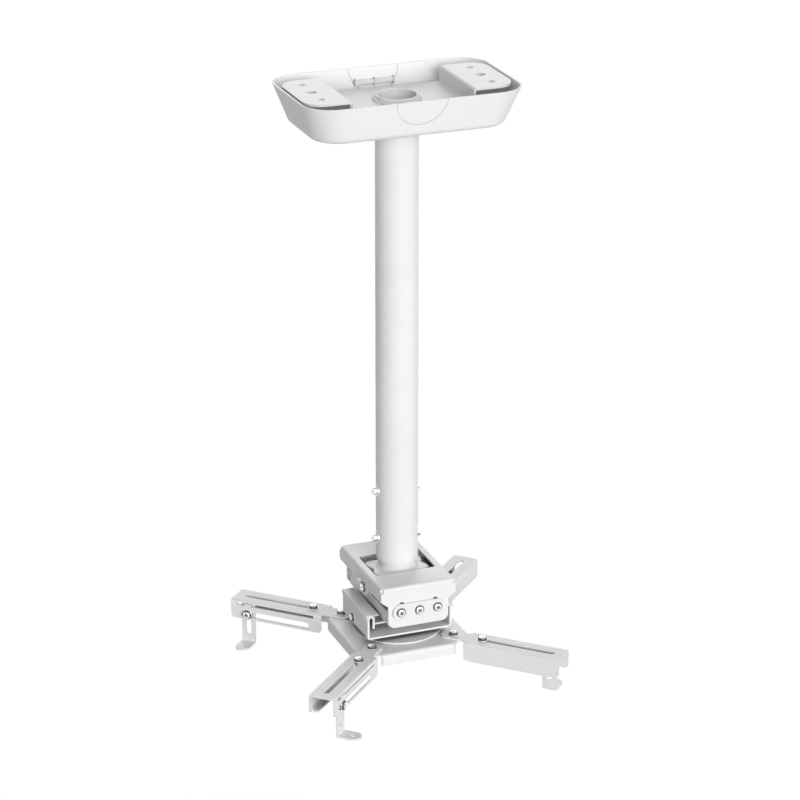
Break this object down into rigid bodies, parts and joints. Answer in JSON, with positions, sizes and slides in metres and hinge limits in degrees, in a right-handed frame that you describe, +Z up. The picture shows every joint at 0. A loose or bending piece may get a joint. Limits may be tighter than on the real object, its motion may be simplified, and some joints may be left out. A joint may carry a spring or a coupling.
{
  "type": "projector ceiling mount",
  "caption": "White ceiling mount for a projector: covered ceiling plate, telescoping pole, tilting and rolling head, turning hub with swinging slotted arms and sliding feet.",
  "frame": {"origin": "middle of the ceiling face, on the pole's axis", "axes": "+Z up into the ceiling, -Y towards the front of the picture, +X to its right; the arms lie on the diagonals"},
  "size_m": [0.3324, 0.3324, 0.727],
  "materials": {
    "steel": "white powder coat",
    "plastic": "moulded white",
    "zinc": "bright zinc"
  },
  "bodies": {
    "ceiling": {"ceiling_plate": "steel", "ceiling_cover": "plastic", "outer_pole": "steel", "pole_weld": "steel"},
    "column": {"inner_pole": "steel", "pole_bracket": "steel", "bracket_weld": "steel", "tilt_pin_left": "zinc", "tilt_pin_right": "zinc"},
    "tilt_head": {"tilt_frame": "steel"},
    "roll_head": {"roll_bracket": "steel", "roll_clamp_front": "steel", "roll_clamp_back": "steel", "roll_pin_front": "zinc", "roll_pin_back": "zinc", "slide_plate": "steel", "rail_tray": "steel", "swivel_disc": "steel", "swivel_pin": "zinc"},
    "hub": {"spider_hub": "steel", "arm_pivot_back": "zinc", "arm_pivot_left": "zinc", "arm_pivot_front": "zinc", "arm_pivot_right": "zinc"},
    "back_arm": {"arm_back": "steel"},
    "left_arm": {"arm_left": "steel"},
    "front_arm": {"arm_front": "steel"},
    "right_arm": {"arm_right": "steel"},
    "back_foot": {"foot_back": "steel"},
    "left_foot": {"foot_left": "steel"},
    "front_foot": {"foot_front": "steel"},
    "right_foot": {"foot_right": "steel"}
  },
  "joints": [
    {"name": "drop", "type": "slide", "parent": "ceiling", "child": "column", "axis": [0, 0, -1], "range_m": [0, 0.18]},
    {"name": "tilt", "type": "hinge", "parent": "column", "child": "tilt_head", "pos_m": [0, 0, -0.608], "axis": [1, 0, 0], "range_deg": [-10, 10]},
    {"name": "roll", "type": "hinge", "parent": "tilt_head", "child": "roll_head", "pos_m": [0, 0, -0.621], "axis": [0, 1, 0], "range_deg": [-12, 12]},
    {"name": "swivel", "type": "hinge", "parent": "roll_head", "child": "hub", "pos_m": [0, 0, -0.6735], "axis": [0, 0, 1], "continuous": true},
    {"name": "swing_back", "type": "hinge", "parent": "hub", "child": "back_arm", "pos_m": [0.052, 0.052, -0.6735], "axis": [0, 0, 1], "range_deg": [-15, 15]},
    {"name": "swing_left", "type": "hinge", "parent": "hub", "child": "left_arm", "pos_m": [-0.052, 0.052, -0.6735], "axis": [0, 0, 1], "range_deg": [-15, 15]},
    {"name": "swing_front", "type": "hinge", "parent": "hub", "child": "front_arm", "pos_m": [-0.052, -0.052, -0.6735], "axis": [0, 0, 1], "range_deg": [-15, 15]},
    {"name": "swing_right", "type": "hinge", "parent": "hub", "child": "right_arm", "pos_m": [0.052, -0.052, -0.6735], "axis": [0, 0, 1], "range_deg": [-15, 15]},
    {"name": "foot_slide_back", "type": "slide", "parent": "back_arm", "child": "back_foot", "axis": [0.7071, 0.7071, 0], "range_m": [-0.076, 0.005]},
    {"name": "foot_slide_left", "type": "slide", "parent": "left_arm", "child": "left_foot", "axis": [-0.7071, 0.7071, 0], "range_m": [-0.076, 0.005]},
    {"name": "foot_slide_front", "type": "slide", "parent": "front_arm", "child": "front_foot", "axis": [-0.7071, -0.7071, 0], "range_m": [-0.076, 0.005]},
    {"name": "foot_slide_right", "type": "slide", "parent": "right_arm", "child": "right_foot", "axis": [0.7071, -0.7071, 0], "range_m": [-0.076, 0.005]}
  ]
}
